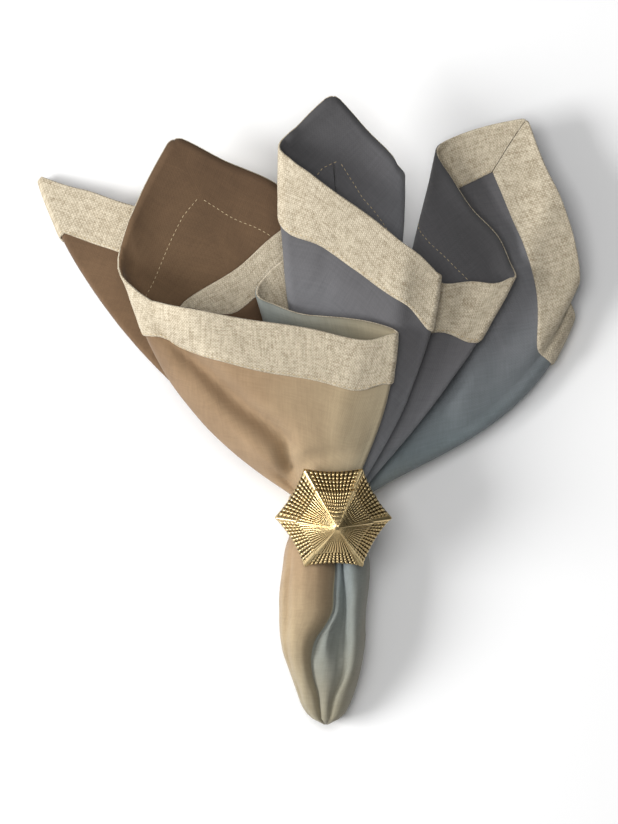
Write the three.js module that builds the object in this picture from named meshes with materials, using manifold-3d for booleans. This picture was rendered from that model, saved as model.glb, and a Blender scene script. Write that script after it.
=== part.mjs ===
// Square dinner napkin with a mitred border, drawn through the band of a gold napkin ring.
// Frame: millimetres, +Z up, +Y from the ring towards the corners of the cloth, +X to the right.
// The cloth lies on its back with the ornament on top, and z = 0 is the table.

import * as THREE from 'three';
import { mergeVertices } from 'three/addons/utils/BufferGeometryUtils.js';
import Module from 'manifold-3d';

// Cloth: cut size, thickness of the ground cloth and of the border strips, the gap between them and
// the one at a mitre, and how much the cloth on the table is pressed flat
const napkinSide = 508;
const borderWidth = 25.4;
const clothThickness = 1.0;
const borderThickness = 1.0;
const seamGap = 0.3;
const mitreGap = 0.4;
const tablePress = 0.02;

// Ring: band, its lean towards the corners, and the six-sided ornament on top of it
const bandInnerRadius = 20;
const bandOuterRadius = 22.6;
const bandWidth = 10;
const bandEdgeRound = 0.9;
const ringLean = 16 * Math.PI / 180;
const ringCentre = new THREE.Vector3(0, 5, 23.6);
const ornamentRadius = 29;
const ornamentHeight = 19.5;
const ornamentGap = 0.3;
const ornamentShift = 1.5;

// The origin is on the table under the middle of the part, and the ornament's middle is here from it
const ornamentPlan = new THREE.Vector3(12.05, -52.77, 0);

// Fan of the cloth: its lines leave the ring along hyperbolas, so plan positions are elliptic
// coordinates, with reach (mm from the ring) and bearing (degrees from +Y, to the right)
const fanFocus = 16;
const heightReach = 225;
const ringRise = 20;
const degree = Math.PI / 180;

// Sampling of the solid
const nearReaches = [5, 9.5, 14.5, 20, 28, 38, 50];
const farRows = 4;
const borderRows = 2;
const lineSpacing = 17;
const turnSteps = 4;

// Folds of the cloth in order along its rim. Each wall runs from one fold to the next.
// edge: mm along the napkin's rim from the left corner, x and y: the rim in plan (mm from the
// middle of the ornament), bearing: in the ring, bow: bend of the fold line in plan (degrees),
// low, middle, far: height in the ring, and at 112 mm and 225 mm from it
const walls = [
  { name: 'left corner, upper layer', points: [
    { edge: 3, x: -146.5, y: 168.5, bearing: -55, bow: 0, low: 19.6, middle: 4.5, far: 5 },
    { edge: 47, x: -101, y: 156, bearing: -45, bow: 0, low: 17.6, middle: 8, far: 11 },
    { edge: 100, x: -48, y: 146, bearing: -25, bow: 0, low: 13.8, middle: 8.5, far: 12 },
    { edge: 160, x: 7, y: 136, bearing: 9, bow: 0, low: 12.6, middle: 8, far: 11 },
  ] },
  { name: 'left inner layer, going back', points: [
    { edge: 186, x: 7, y: 130, bearing: 9, bow: 0, low: 18.4, middle: 28, far: 42 },
    { edge: 238, x: -38.5, y: 110, bearing: -14, bow: 0, low: 21.3, middle: 36, far: 54 },
    { edge: 254, x: -50.5, y: 101.5, bearing: -25, bow: 0, low: 23.2, middle: 39, far: 58 },
    { edge: 290, x: -76.5, y: 102.5, bearing: -42, bow: 0, low: 25.2, middle: 41, far: 56 },
  ] },
  { name: 'left inner layer, with its border up', points: [
    { edge: 304, x: -77.5, y: 105, bearing: -42, bow: 0, low: 22.2, middle: 33, far: 46 },
    { edge: 346, x: -48, y: 124, bearing: -29, bow: 0, low: 20.6, middle: 30.5, far: 44 },
    { edge: 376, x: -27, y: 142.5, bearing: -20, bow: 0, low: 19, middle: 28, far: 42 },
    { edge: 392, x: -13, y: 150, bearing: -7, bow: 0, low: 17.8, middle: 25, far: 39 },
  ] },
  { name: 'second petal, inside of the front cup', points: [
    { edge: 424, x: -13, y: 158, bearing: -7, bow: 0, low: 15.4, middle: 16.5, far: 27 },
    { edge: 446, x: -27.5, y: 166, bearing: -18, bow: 0, low: 16.3, middle: 17, far: 30 },
    { edge: 478, x: -54, y: 178, bearing: -26, bow: 0, low: 17.2, middle: 17.5, far: 32 },
    { edge: 508, x: -77.5, y: 188.5, bearing: -35, bow: 0, low: 18.3, middle: 19, far: 34 },
    { edge: 536, x: -91.5, y: 166, bearing: -43, bow: -3, low: 20.8, middle: 22, far: 38 },
    { edge: 564, x: -108, y: 141, bearing: -64, bow: -6, low: 23.4, middle: 27, far: 44 },
  ] },
  { name: 'front cup, outside', points: [
    { edge: 604, x: -97, y: 101.5, bearing: -64, bow: -6, low: 30.2, middle: 47, far: 66 },
    { edge: 630, x: -71.5, y: 104, bearing: -42, bow: -2, low: 36, middle: 66, far: 88 },
    { edge: 665, x: -36.5, y: 97.5, bearing: -18, bow: 0, low: 40.2, middle: 74, far: 100 },
    { edge: 700, x: -1.5, y: 91.5, bearing: 5, bow: 0, low: 41.2, middle: 76, far: 104 },
    { edge: 718, x: 16, y: 88, bearing: 20, bow: 0, low: 39.6, middle: 74, far: 102 },
    { edge: 736, x: 31.5, y: 90.5, bearing: 34, bow: 1, low: 37.4, middle: 70, far: 98 },
  ] },
  { name: 'front cup, turned back inside', points: [
    { edge: 741, x: 31.5, y: 93, bearing: 34, bow: 1, low: 34.8, middle: 65.5, far: 91 },
    { edge: 788, x: -11.5, y: 101.5, bearing: 12, bow: 0, low: 37, middle: 65, far: 86 },
    { edge: 816, x: -38, y: 112, bearing: -25, bow: 0, low: 34.6, middle: 58, far: 76 },
  ] },
  { name: 'layer under the third petal', points: [
    { edge: 836, x: -38, y: 121, bearing: -25, bow: 0, low: 25.2, middle: 45, far: 58 },
    { edge: 890, x: 8, y: 148, bearing: 3, bow: 0, low: 22.4, middle: 36, far: 47 },
    { edge: 928, x: 35.5, y: 166, bearing: 18, bow: 0, low: 21.6, middle: 33, far: 42 },
  ] },
  { name: 'third petal, inside', points: [
    { edge: 963, x: 35.5, y: 171, bearing: 18, bow: 0, low: 24.2, middle: 40.5, far: 50 },
    { edge: 972, x: 31, y: 178.5, bearing: 10, bow: 0, low: 24.3, middle: 41, far: 51 },
    { edge: 994, x: 16, y: 194, bearing: 8, bow: 0, low: 24.5, middle: 42.5, far: 52 },
    { edge: 1016, x: 0, y: 209.5, bearing: 6, bow: 0, low: 24.8, middle: 43.5, far: 54 },
    { edge: 1037, x: -16.5, y: 196, bearing: 4, bow: 0, low: 25.2, middle: 45, far: 57 },
    { edge: 1049, x: -26.5, y: 187, bearing: -10, bow: 0, low: 26.2, middle: 47, far: 61 },
  ] },
  { name: 'third petal, front', points: [
    { edge: 1071, x: -26.5, y: 177, bearing: -10, bow: 0, low: 31.6, middle: 56, far: 72 },
    { edge: 1086, x: -14.5, y: 168, bearing: 6, bow: 0, low: 32.6, middle: 58.5, far: 75 },
    { edge: 1109, x: 5.5, y: 155.5, bearing: 13, bow: 0, low: 33, middle: 60, far: 77 },
    { edge: 1141, x: 32, y: 138.5, bearing: 23, bow: 0, low: 33.2, middle: 60, far: 77 },
    { edge: 1155, x: 43.5, y: 131, bearing: 31, bow: 0, low: 32.9, middle: 58, far: 75 },
    { edge: 1168, x: 53.5, y: 121, bearing: 43, bow: 0, low: 32.4, middle: 55, far: 72 },
  ] },
  { name: 'third petal, tucked back', points: [
    { edge: 1173, x: 53.5, y: 120, bearing: 43, bow: 0, low: 29.8, middle: 50.5, far: 67 },
    { edge: 1212, x: 20, y: 136, bearing: 21, bow: 0, low: 30.4, middle: 55, far: 71 },
    { edge: 1254, x: -14, y: 156, bearing: 4, bow: 0, low: 30.2, middle: 54.5, far: 70 },
  ] },
  { name: 'layer between the third and fourth petals', points: [
    { edge: 1266, x: -14, y: 154, bearing: 4, bow: 0, low: 27.4, middle: 48.5, far: 62 },
    { edge: 1318, x: 28, y: 134, bearing: 18, bow: 0, low: 27.4, middle: 48, far: 61 },
    { edge: 1350, x: 53, y: 117, bearing: 27, bow: 0, low: 27.3, middle: 44.5, far: 56 },
    { edge: 1368, x: 70, y: 117.5, bearing: 33, bow: 0, low: 27.2, middle: 42, far: 52 },
    { edge: 1379, x: 80, y: 116.5, bearing: 38, bow: 0, low: 27, middle: 40, far: 50 },
    { edge: 1396, x: 91, y: 119, bearing: 49, bow: 0, low: 26.4, middle: 38, far: 47 },
  ] },
  { name: 'fourth petal, turned in', points: [
    { edge: 1408, x: 91, y: 125, bearing: 49, bow: 0, low: 23.6, middle: 32, far: 40 },
    { edge: 1424, x: 82.5, y: 140, bearing: 40, bow: 0, low: 22.8, middle: 29, far: 38 },
    { edge: 1444, x: 69, y: 154.5, bearing: 35, bow: 0, low: 22, middle: 26.5, far: 36 },
    { edge: 1468, x: 48.5, y: 171, bearing: 25, bow: 0, low: 20.4, middle: 23.5, far: 32 },
  ] },
  { name: 'fourth petal, outside', points: [
    { edge: 1484, x: 54.5, y: 185, bearing: 25, bow: -3, low: 16.4, middle: 14, far: 20 },
    { edge: 1506, x: 82.5, y: 196.5, bearing: 34.5, bow: 0, low: 16.8, middle: 14.5, far: 22 },
    { edge: 1524, x: 97, y: 198.5, bearing: 37, bow: 0, low: 17, middle: 15, far: 23 },
    { edge: 1548, x: 106, y: 176, bearing: 40, bow: 0, low: 18.2, middle: 16.5, far: 27 },
    { edge: 1569, x: 115, y: 156.5, bearing: 42.5, bow: 0, low: 19, middle: 18, far: 30 },
    { edge: 1588, x: 121, y: 137.5, bearing: 45.5, bow: 1, low: 20.2, middle: 18, far: 28 },
    { edge: 1607, x: 123, y: 119, bearing: 49, bow: 2, low: 21.2, middle: 15, far: 22 },
    { edge: 1626, x: 122, y: 103, bearing: 60, bow: 3, low: 22.4, middle: 10, far: 13 },
  ] },
  { name: 'bottom, on the table', points: [
    { edge: 1656, x: 115, y: 86, bearing: 60, bow: 3, low: 19.2, middle: -4, far: 0 },
    { edge: 1740, x: 66, y: 108, bearing: 36, bow: 0, low: 12.6, middle: -6, far: 0 },
    { edge: 1830, x: 0, y: 138, bearing: 0, bow: 0, low: 9.8, middle: -6, far: 0 },
    { edge: 1920, x: -58, y: 143, bearing: -30, bow: 0, low: 11.4, middle: -6, far: 0 },
    { edge: 1985, x: -101, y: 153, bearing: -43, bow: 0, low: 14.2, middle: -5, far: 0 },
    { edge: 2029, x: -146.5, y: 167.5, bearing: -55, bow: 0, low: 17.2, middle: -2, far: 1 },
  ] },
];

// Creases of the cloth: a soft ridge, or a trough where rise is negative, between two plan
// positions, on the lines between two places of the edge
const creases = [
  { name: 'front cup ridge', from: 590, to: 740, x1: -78, y1: 88, x2: -18, y2: 26, width: 7, rise: 3 },
  { name: 'hollow left of the ridge', from: 590, to: 740, x1: -80, y1: 70, x2: -34, y2: 28, width: 7, rise: -3.5 },
  { name: 'dent above the ring', from: 590, to: 740, x1: -16, y1: 35, x2: 12, y2: 36, width: 8, rise: -2 },
  { name: 'front cup, second ridge', from: 590, to: 740, x1: 12, y1: 80, x2: 2, y2: 40, width: 9, rise: 2 },
  { name: 'third petal ridge', from: 1085, to: 1169, x1: 28, y1: 120, x2: 22, y2: 50, width: 6, rise: 1.6 },
  { name: 'fourth petal ridge', from: 1484, to: 1626, x1: 108, y1: 160, x2: 60, y2: 52, width: 12, rise: 5 },
  { name: 'fourth petal hollow', from: 1484, to: 1626, x1: 74, y1: 168, x2: 52, y2: 62, width: 9, rise: -3 },
];

// Sections of the tail: y, its middle in x, half width, crown and floor heights, how deep its two
// folds are (share of the full depth), and where they run in x
const tailColumns = 60;
const tailTopColumns = 44;
const tailFlat = 1.15;
const tailFoldDepth = 6;
const tailFoldWidth = 2.6;
const tailSections = [
  { y: 15, x: 0, half: 17, crown: 42.4, floor: 10.4, pleat: 0, leftFold: 0, rightFold: 6 },
  { y: 8, x: 0, half: 19, crown: 43.6, floor: 6.6, pleat: 0, leftFold: 0, rightFold: 6 },
  { y: 0, x: 0, half: 19, crown: 42, floor: 4.4, pleat: 0, leftFold: 0, rightFold: 6 },
  { y: -7, x: -1.6, half: 19.4, crown: 39.6, floor: 2.4, pleat: 0.25, leftFold: 1, rightFold: 6 },
  { y: -16, x: -3, half: 20.6, crown: 38.4, floor: 0.8, pleat: 0.7, leftFold: 1.5, rightFold: 6 },
  { y: -28, x: -3.5, half: 21.8, crown: 37.4, floor: 0, pleat: 1, leftFold: 1.5, rightFold: 6 },
  { y: -42, x: -5, half: 21.6, crown: 36, floor: 0, pleat: 1, leftFold: 1, rightFold: 7.5 },
  { y: -58, x: -5.3, half: 21.2, crown: 34, floor: 0, pleat: 1, leftFold: -7.5, rightFold: 7.5 },
  { y: -72, x: -5, half: 19.4, crown: 31.4, floor: 0, pleat: 1, leftFold: -11, rightFold: 7.2 },
  { y: -84, x: -4.6, half: 16, crown: 28, floor: 0, pleat: 0.8, leftFold: -9, rightFold: 3 },
  { y: -94, x: -4.2, half: 12, crown: 24, floor: 0.6, pleat: 0.5, leftFold: -6.6, rightFold: -0.6 },
  { y: -101, x: -3.4, half: 6.4, crown: 18.6, floor: 3.4, pleat: 0.2, leftFold: -6, rightFold: -1.2 },
  { y: -104, x: -3, half: 2, crown: 14, floor: 9, pleat: 0, leftFold: -6, rightFold: -1.2 },
];

// Ornament: bead rings and ribs of one face, as shares of its radius and of its height
const ornamentRibs = 10;
const ribDepth = 0.55;
const sideHollow = 0.06;
const ornamentTiers = [
  { radius: 0.02, height: 1.0, rib: 0.0 },
  { radius: 0.22, height: 0.8, rib: 0.6 },
  { radius: 0.45, height: 0.585, rib: 1.0 },
  { radius: 0.66, height: 0.39, rib: 1.0 },
  { radius: 0.68, height: 0.3, rib: 1.0 },
  { radius: 0.84, height: 0.2, rib: 1.0 },
  { radius: 0.98, height: 0.115, rib: 1.0 },
  { radius: 1.0, height: 0.06, rib: 0.8 },
  { radius: 0.99, height: 0.0, rib: 0.4 },
];

const perimeter = 4 * napkinSide;
const halfSide = napkinSide / 2;

function mix(a, b, share) {
  return a + (b - a) * share;
}

// Eased step from 0 at one value to 1 at the other
function smooth(from, to, value) {
  const share = Math.min(Math.max((value - from) / (to - from), 0), 1);
  return share * share * (3 - 2 * share);
}

// Elliptic coordinates of a plan position, and back again
function toFan(x, y) {
  const dy = y - ringCentre.y;
  const excess = x * x + dy * dy - fanFocus * fanFocus;
  const reach = Math.sqrt((excess + Math.hypot(excess, 2 * fanFocus * dy)) / 2);
  return { reach, bearing: Math.asin(x / Math.hypot(reach, fanFocus)) };
}

function toPlan(reach, bearing) {
  return [Math.hypot(reach, fanFocus) * Math.sin(bearing), ringCentre.y + reach * Math.cos(bearing)];
}

// Width of the border along the line from the middle of the napkin to a point of its edge
function borderAlong(edge) {
  const along = ((edge % napkinSide) + napkinSide) % napkinSide;
  return borderWidth * Math.hypot(halfSide, halfSide - along) / halfSide;
}

// Least height of a point on the table side: the border strip lies under the cloth near the rim
function floorUnder(point, reach) {
  const bare = clothThickness / 2 - tablePress;
  if (point.edge < 3 * napkinSide) return bare;
  const seam = point.rim.reach - borderAlong(point.edge);
  return bare + (seamGap + borderThickness) * smooth(seam - 16, seam - 5, reach);
}

function heightAt(point, reach) {
  const u = reach / heightReach;
  const height = (1 - u) * (1 - u) * point.low + 2 * u * (1 - u) * point.middle + u * u * point.far;
  const lean = Math.tan(ringLean) * reach * Math.exp(-((reach / ringRise) ** 2));
  return Math.max(height + lean, floorUnder(point, reach));
}

// The end of a wall draws back by the radius of the turn, so that the turn reaches the fold line
function bearingAt(point, reach) {
  const share = Math.min(reach / point.rim.reach, 1.1);
  const straight = mix(point.bearing * degree, point.rim.bearing, share);
  const bearing = straight + point.bow * degree * 4 * share * (1 - share);
  if (!point.turn) return bearing;
  const radius = Math.abs(heightAt(point, reach) - heightAt(point.turn.partner, reach)) / 2;
  return bearing - point.turn.direction * radius / Math.hypot(reach, fanFocus);
}

for (const wall of walls) {
  for (const point of wall.points) point.rim = toFan(point.x, point.y);
}

walls.forEach((wall, index) => {
  const last = wall.points.at(-1);
  const first = walls[(index + 1) % walls.length].points[0];
  const direction = Math.sign(last.rim.bearing - wall.points[0].rim.bearing);
  last.turn = { partner: first, direction };
  first.turn = { partner: last, direction };
});

// Cubic through the points of a wall, spaced by their distance along the napkin's edge. It turns
// sharply at a corner of the napkin.
function alongWall(points, segment, share, valueOf) {
  const start = points[segment];
  const end = points[segment + 1];
  const before = start.edge % napkinSide ? points[segment - 1] ?? start : start;
  const after = end.edge % napkinSide ? points[segment + 2] ?? end : end;
  const span = end.edge - start.edge;
  const slope = (a, b) => (valueOf(b) - valueOf(a)) / (b.edge - a.edge);
  const slopeIn = slope(before, end);
  const slopeOut = slope(start, after);
  const s2 = share * share;
  const s3 = s2 * share;
  return (2 * s3 - 3 * s2 + 1) * valueOf(start) + (s3 - 2 * s2 + share) * span * slopeIn
    + (3 * s2 - 2 * s3) * valueOf(end) + (s3 - s2) * span * slopeOut;
}

// Lines of the fan: each is a place along a wall, or round the turn between two walls
function makeLines() {
  const lines = [];
  for (const wall of walls) {
    const { points } = wall;
    for (let segment = 0; segment < points.length - 1; segment++) {
      const steps = Math.ceil((points[segment + 1].edge - points[segment].edge) / lineSpacing);
      for (let step = segment ? 1 : 0; step <= steps; step++) {
        const value = (valueOf) => alongWall(points, segment, step / steps, valueOf);
        lines.push({
          edge: value((p) => p.edge),
          rim: value((p) => p.rim.reach),
          bearing: (reach) => value((p) => bearingAt(p, reach)),
          height: (reach) => value((p) => heightAt(p, reach)),
        });
      }
    }
    const last = points.at(-1);
    const first = last.turn.partner;
    const edgeAfter = first.edge + (first.edge < last.edge ? perimeter : 0);
    for (let step = 1; step < turnSteps; step++) {
      const angle = Math.PI * (step / turnSteps - 0.5);
      const share = (1 + Math.sin(angle)) / 2;
      lines.push({
        edge: mix(last.edge, edgeAfter, share) % perimeter,
        rim: mix(last.rim.reach, first.rim.reach, share),
        bearing: (reach) => {
          const radius = Math.abs(heightAt(last, reach) - heightAt(first, reach)) / 2;
          const bulge = last.turn.direction * radius * Math.cos(angle) / Math.hypot(reach, fanFocus);
          return mix(bearingAt(last, reach), bearingAt(first, reach), share) + bulge;
        },
        height: (reach) => mix(heightAt(last, reach), heightAt(first, reach), share),
      });
    }
  }
  return lines;
}

// Height that a crease adds at a plan position, fading to nothing past its ends
function creaseHeight(crease, x, y) {
  const dx = crease.x2 - crease.x1;
  const dy = crease.y2 - crease.y1;
  const along = ((x - crease.x1) * dx + (y - crease.y1) * dy) / (dx * dx + dy * dy);
  const away = ((x - crease.x1) * dy - (y - crease.y1) * dx) / Math.hypot(dx, dy);
  const fade = smooth(-0.25, 0.15, along) * smooth(1.25, 0.85, along);
  return crease.rise * fade * Math.exp(-((away / crease.width) ** 2));
}

function linePoint(line, reach) {
  const [x, y] = toPlan(reach, line.bearing(reach));
  const creased = creases.filter((crease) => line.edge > crease.from && line.edge < crease.to);
  const rise = creased.reduce((sum, crease) => sum + creaseHeight(crease, x, y), 0);
  return new THREE.Vector3(x, y, line.height(reach) + rise);
}

// Middle surface of the fan: rows of each line from the ring to the rim, the last ones under the
// border, with the unit normal on the face side of the cloth
function makeFan() {
  const lines = makeLines();
  const probe = 12;
  const columns = lines.map((line) => {
    const slope = linePoint(line, line.rim).distanceTo(linePoint(line, line.rim - probe)) / probe;
    const seam = line.rim - borderAlong(line.edge) / slope;
    const reaches = [...nearReaches];
    for (let row = 1; row < farRows; row++) reaches.push(mix(nearReaches.at(-1), seam, row / farRows));
    for (let row = 0; row <= borderRows; row++) reaches.push(mix(seam, line.rim, row / borderRows));
    return { edge: line.edge, points: reaches.map((reach) => linePoint(line, reach)) };
  });
  columns.forEach((column, index) => {
    const before = columns.at(index - 1);
    const after = columns[(index + 1) % columns.length];
    column.normals = column.points.map((point, row) => {
      const inner = column.points[Math.max(row - 1, 0)];
      const outer = column.points[Math.min(row + 1, column.points.length - 1)];
      const across = after.points[row].clone().sub(before.points[row]);
      return across.cross(outer.clone().sub(inner)).normalize();
    });
  });
  return columns;
}

// Closed sheet between two offsets of some columns of the fan
function sheetSolid(columns, rows, low, high, closed) {
  const count = columns.length;
  const depth = rows.length;
  const positions = [];
  for (const offset of [high, low]) {
    for (const column of columns) {
      for (const row of rows) {
        const place = column.points[row].clone().addScaledVector(column.normals[row], offset);
        positions.push(place.x, place.y, Math.max(place.z, 0));
      }
    }
  }
  const index = [];
  const at = (side, column, row) => (side * count + (column % count)) * depth + row;
  const quad = (a, b, c, d) => index.push(a, b, c, a, c, d);
  const spans = closed ? count : count - 1;
  for (let column = 0; column < spans; column++) {
    for (let row = 0; row < depth - 1; row++) {
      quad(at(0, column, row), at(0, column + 1, row), at(0, column + 1, row + 1), at(0, column, row + 1));
      quad(at(1, column, row), at(1, column, row + 1), at(1, column + 1, row + 1), at(1, column + 1, row));
    }
    quad(at(1, column, 0), at(1, column + 1, 0), at(0, column + 1, 0), at(0, column, 0));
    const last = depth - 1;
    quad(at(0, column, last), at(0, column + 1, last), at(1, column + 1, last), at(1, column, last));
  }
  if (!closed) {
    for (let row = 0; row < depth - 1; row++) {
      const last = count - 1;
      quad(at(0, 0, row), at(0, 0, row + 1), at(1, 0, row + 1), at(1, 0, row));
      quad(at(1, last, row), at(1, last, row + 1), at(0, last, row + 1), at(0, last, row));
    }
  }
  const geometry = new THREE.BufferGeometry();
  geometry.setAttribute('position', new THREE.Float32BufferAttribute(positions, 3));
  geometry.setIndex(index);
  return geometry;
}

// End columns of a strip move inwards, which leaves the gap of the mitre
function trimEnds(strip) {
  const trimmed = [...strip];
  for (const [end, next] of [[0, 1], [strip.length - 1, strip.length - 2]]) {
    const gap = strip[end].points.at(-1).distanceTo(strip[next].points.at(-1));
    const share = mitreGap / 2 / gap;
    trimmed[end] = {
      points: strip[end].points.map((p, row) => p.clone().lerp(strip[next].points[row], share)),
      normals: strip[end].normals.map((n, row) => n.clone().lerp(strip[next].normals[row], share)),
    };
  }
  return trimmed;
}

// Closed solid through rings of points, each ring with the same count, capped at both ends
function loftSolid(rings) {
  const count = rings[0].length;
  const positions = rings.flat().flatMap((p) => [p.x, p.y, p.z]);
  const index = [];
  for (let ring = 0; ring < rings.length - 1; ring++) {
    for (let i = 0; i < count; i++) {
      const a = ring * count + i;
      const b = ring * count + (i + 1) % count;
      index.push(a, b, b + count, a, b + count, a + count);
    }
  }
  for (const [ring, turned] of [[0, true], [rings.length - 1, false]]) {
    const middle = new THREE.Vector3();
    rings[ring].forEach((p) => middle.addScaledVector(p, 1 / count));
    const hub = positions.length / 3;
    positions.push(middle.x, middle.y, middle.z);
    for (let i = 0; i < count; i++) {
      const a = ring * count + i;
      const b = ring * count + (i + 1) % count;
      if (turned) index.push(b, a, hub);
      else index.push(a, b, hub);
    }
  }
  const geometry = new THREE.BufferGeometry();
  geometry.setAttribute('position', new THREE.Float32BufferAttribute(positions, 3));
  geometry.setIndex(index);
  return geometry;
}

// The tail is a bundle with two deep folds on top, between its left lobe, its tongue and its right lobe
function tailSolid() {
  const rings = tailSections.map((section) => {
    const middle = (section.crown + section.floor) / 2;
    const rise = section.crown - middle;
    const ring = [];
    for (let i = 0; i < tailColumns; i++) {
      const onTop = i < tailTopColumns;
      const share = onTop ? i / tailTopColumns : (i - tailTopColumns) / (tailColumns - tailTopColumns);
      const angle = Math.PI * (onTop ? share : 1 + share);
      let x = section.half * Math.cos(angle);
      let z = rise * Math.sin(angle) * (Math.sin(angle) < 0 ? tailFlat : 1);
      if (Math.sin(angle) > 0) {
        const onFold = [section.leftFold, section.rightFold].map(
          (fold) => Math.exp(-(((x + section.x - fold) / tailFoldWidth) ** 2)));
        const draw = 1 - section.pleat * tailFoldDepth * Math.max(...onFold) / Math.hypot(x, z);
        x *= draw;
        z *= draw;
      }
      ring.push(new THREE.Vector3(section.x + x, section.y, Math.max(middle + z, section.floor)));
    }
    return ring;
  });
  return loftSolid(rings);
}

// Side outline of the ornament at an angle: a hexagon whose sides are slightly hollow, with one
// radial rib for each stripe of a face
function hexagonRadius(angle) {
  const sector = Math.PI / 3;
  const offset = ((angle % sector) + sector) % sector - sector / 2;
  const straight = Math.cos(sector / 2) / Math.cos(offset);
  const middleness = Math.cos(offset * 3);
  return straight * (1 - sideHollow * middleness);
}

function ornamentSolid() {
  const count = 6 * ornamentRibs * 2;
  const rings = ornamentTiers.map((tier) => {
    const ring = [];
    for (let i = 0; i < count; i++) {
      const angle = 2 * Math.PI * i / count;
      const radius = ornamentRadius * tier.radius * hexagonRadius(angle);
      const groove = i % 2 ? 0 : ribDepth * tier.rib * Math.min(1, radius / 8);
      const height = Math.max(ornamentHeight * tier.height - groove, 0);
      ring.push(new THREE.Vector3(radius * Math.cos(angle), radius * Math.sin(angle), height));
    }
    return ring;
  });
  return loftSolid(rings.reverse());
}

// Plain round band: a rounded section turned about the ring's axis
function bandSolid() {
  const halfWidth = bandWidth / 2;
  const profile = [];
  const corners = [
    [bandOuterRadius - bandEdgeRound, halfWidth - bandEdgeRound, 0],
    [bandInnerRadius + bandEdgeRound, halfWidth - bandEdgeRound, 90],
    [bandInnerRadius + bandEdgeRound, bandEdgeRound - halfWidth, 180],
    [bandOuterRadius - bandEdgeRound, bandEdgeRound - halfWidth, 270],
  ];
  for (const [radius, height, start] of corners) {
    for (const turn of [0, 45, 90]) {
      const angle = (start + turn) * degree;
      profile.push(new THREE.Vector2(
        radius + bandEdgeRound * Math.cos(angle), height + bandEdgeRound * Math.sin(angle)));
    }
  }
  profile.push(profile[0].clone());
  return new THREE.LatheGeometry(profile, 64);
}

const wasm = await Module();
wasm.setup();

function toManifold(geometry) {
  const bare = geometry.clone();
  bare.deleteAttribute('normal');
  bare.deleteAttribute('uv');
  const merged = mergeVertices(bare, 1e-4);
  return new wasm.Manifold(new wasm.Mesh({
    numProp: 3,
    vertProperties: new Float32Array(merged.attributes.position.array),
    triVerts: new Uint32Array(merged.index.array),
  }));
}

function fromManifold(solid) {
  const { vertProperties, triVerts } = solid.getMesh();
  const geometry = new THREE.BufferGeometry();
  geometry.setAttribute('position', new THREE.BufferAttribute(new Float32Array(vertProperties), 3));
  geometry.setIndex(new THREE.BufferAttribute(new Uint32Array(triVerts), 1));
  return geometry;
}

const clothMaterial = new THREE.MeshStandardMaterial({ color: 0x8c7f70, roughness: 0.9, metalness: 0 });
const linenMaterial = new THREE.MeshStandardMaterial({ color: 0xbfae92, roughness: 0.92, metalness: 0 });
const goldMaterial = new THREE.MeshStandardMaterial({ color: 0xc9a962, roughness: 0.35, metalness: 1 });

function named(name, geometry, material) {
  const mesh = new THREE.Mesh(geometry, material);
  mesh.name = name;
  return mesh;
}

const part = new THREE.Group();
const fan = makeFan();
const allRows = fan[0].points.map((point, row) => row);
const seamRow = nearReaches.length + farRows - 1;
const fanSheet = sheetSolid(fan, allRows, -clothThickness / 2, clothThickness / 2, true);
part.add(named('napkin_cloth', fromManifold(toManifold(fanSheet).add(toManifold(tailSolid()))), clothMaterial));

// One border strip for each side of the napkin, cut short at both mitres
const borderNames = ['border_left', 'border_top', 'border_right', 'border_under'];
borderNames.forEach((name, side) => {
  const from = side * napkinSide;
  const to = from + napkinSide;
  const onSide = (edge) => edge >= from - 0.01 && edge <= to + 0.01;
  const strip = fan.filter((column) => onSide(column.edge) || (side === 3 && column.edge < 0.01));
  strip.sort((a, b) => (a.edge || (side === 3 ? perimeter : 0)) - (b.edge || (side === 3 ? perimeter : 0)));
  const low = clothThickness / 2 + seamGap;
  const geometry = sheetSolid(trimEnds(strip), allRows.slice(seamRow), low, low + borderThickness, false);
  part.add(named(name, geometry, linenMaterial));
});

// The ring leans towards the corners of the cloth about the X axis
const ring = new THREE.Group();
ring.position.copy(ringCentre);
ring.rotation.x = ringLean;
const band = named('ring_band', bandSolid(), goldMaterial);
ring.add(band);
const ornament = named('ring_ornament', ornamentSolid(), goldMaterial);
ornament.position.set(0, ornamentShift, bandOuterRadius + ornamentGap);
ring.add(ornament);
part.add(ring);
part.position.copy(ornamentPlan);

export default part;
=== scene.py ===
# Dinner napkin drawn through a gold ring and fanned out, seen from above.
# The tables are in millimetres from the middle of the ornament, with z from the table.
import math

import bpy
import numpy as np
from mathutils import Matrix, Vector, noise


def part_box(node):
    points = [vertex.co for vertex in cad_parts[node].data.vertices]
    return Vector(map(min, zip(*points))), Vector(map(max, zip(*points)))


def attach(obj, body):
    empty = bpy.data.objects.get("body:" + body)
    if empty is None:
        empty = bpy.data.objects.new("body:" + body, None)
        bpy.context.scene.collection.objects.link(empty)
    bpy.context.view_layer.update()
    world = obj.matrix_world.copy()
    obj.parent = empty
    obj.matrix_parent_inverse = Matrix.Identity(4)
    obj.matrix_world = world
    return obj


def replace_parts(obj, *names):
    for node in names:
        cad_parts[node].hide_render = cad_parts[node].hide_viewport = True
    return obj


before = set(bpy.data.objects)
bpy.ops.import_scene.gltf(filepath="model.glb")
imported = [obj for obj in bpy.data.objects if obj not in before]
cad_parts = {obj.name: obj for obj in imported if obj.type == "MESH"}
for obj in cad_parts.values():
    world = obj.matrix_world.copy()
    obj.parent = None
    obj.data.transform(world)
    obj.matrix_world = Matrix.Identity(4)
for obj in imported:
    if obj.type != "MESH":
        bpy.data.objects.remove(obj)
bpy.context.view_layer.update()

mm = 0.001

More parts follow.
